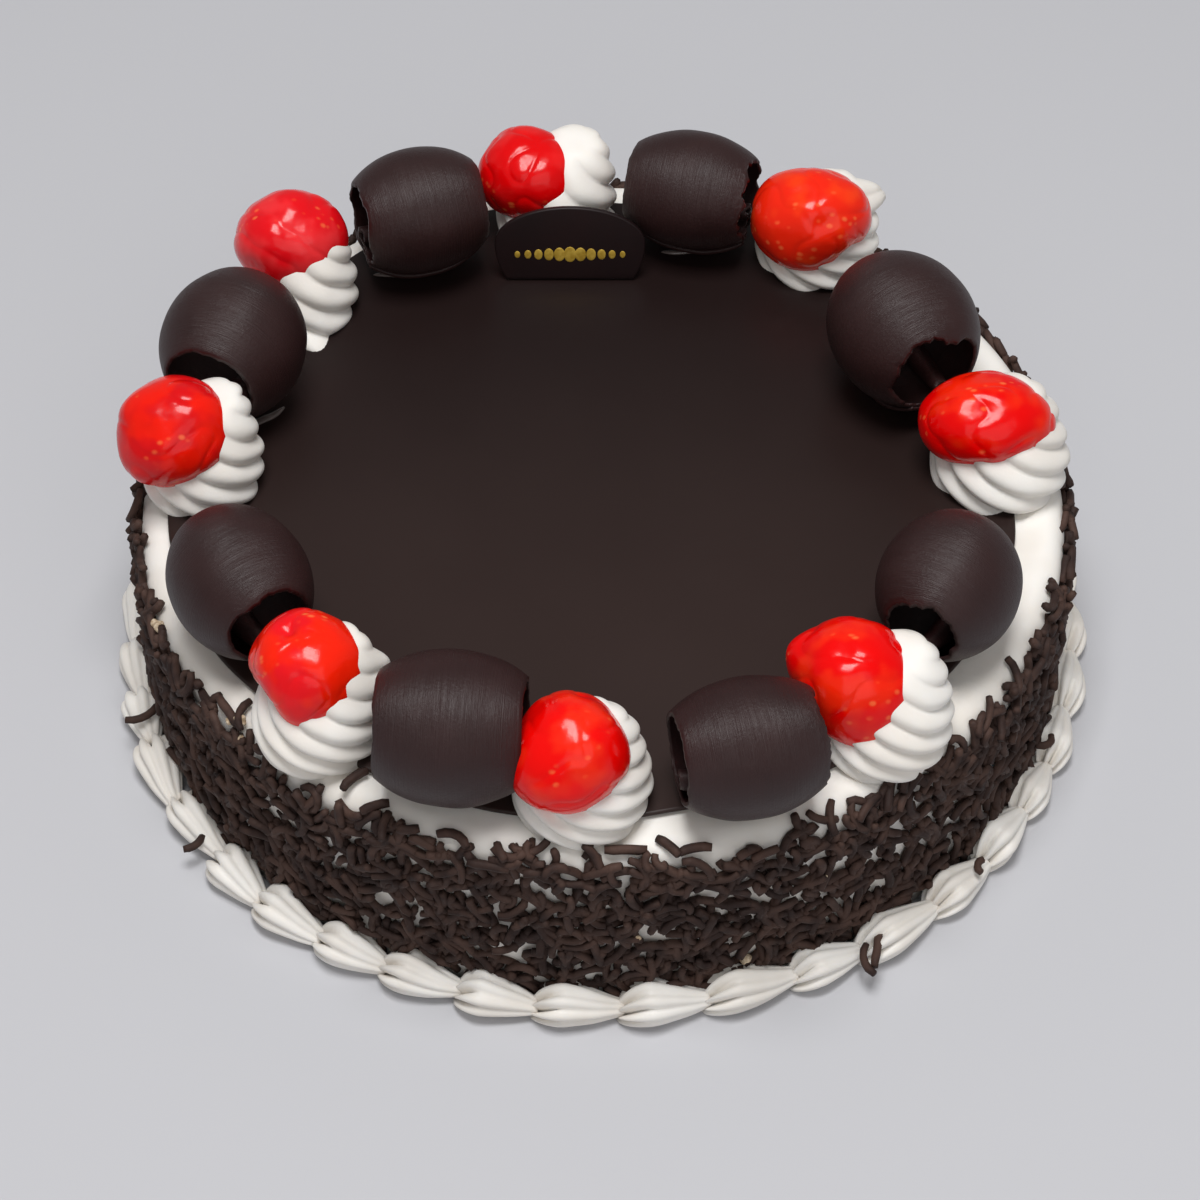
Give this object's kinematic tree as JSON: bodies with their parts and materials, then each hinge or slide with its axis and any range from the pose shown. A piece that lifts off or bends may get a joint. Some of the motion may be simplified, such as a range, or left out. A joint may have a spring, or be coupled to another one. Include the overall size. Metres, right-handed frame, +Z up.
{
  "type": "black forest cake",
  "caption": "Round cream cake with a dark glaze, piped swirls topped with cherries, rolled chocolate curls, a small plaque and a piped border round its foot.",
  "frame": {"origin": "centre of the cake's flat underside", "axes": "+Z up, -Y towards the front; the plaque stands at the back and faces the front"},
  "size_m": [0.215, 0.215, 0.0814],
  "materials": {
    "cream": "soft piped whipped cream, matt",
    "glaze": "poured dark chocolate glaze, smooth satin gloss",
    "chocolate": "dark chocolate, dull with faint rolling marks",
    "cherry": "wet sugared cherry, uneven gloss"
  },
  "bodies": {
    "root": {"cream_cake": "cream", "chocolate_glaze": "glaze", "cream_shell_border": "cream", "chocolate_plaque": "chocolate", "cream_swirl_1": "cream", "cherry_1": "cherry", "chocolate_curl_1": "chocolate", "cream_swirl_2": "cream", "cherry_2": "cherry", "chocolate_curl_2": "chocolate", "cream_swirl_3": "cream", "cherry_3": "cherry", "chocolate_curl_3": "chocolate", "cream_swirl_4": "cream", "cherry_4": "cherry", "chocolate_curl_4": "chocolate", "cream_swirl_5": "cream", "cherry_5": "cherry", "chocolate_curl_5": "chocolate", "cream_swirl_6": "cream", "cherry_6": "cherry", "chocolate_curl_6": "chocolate", "cream_swirl_7": "cream", "cherry_7": "cherry", "chocolate_curl_7": "chocolate", "cream_swirl_8": "cream", "cherry_8": "cherry", "chocolate_curl_8": "chocolate"}
  },
  "joints": []
}
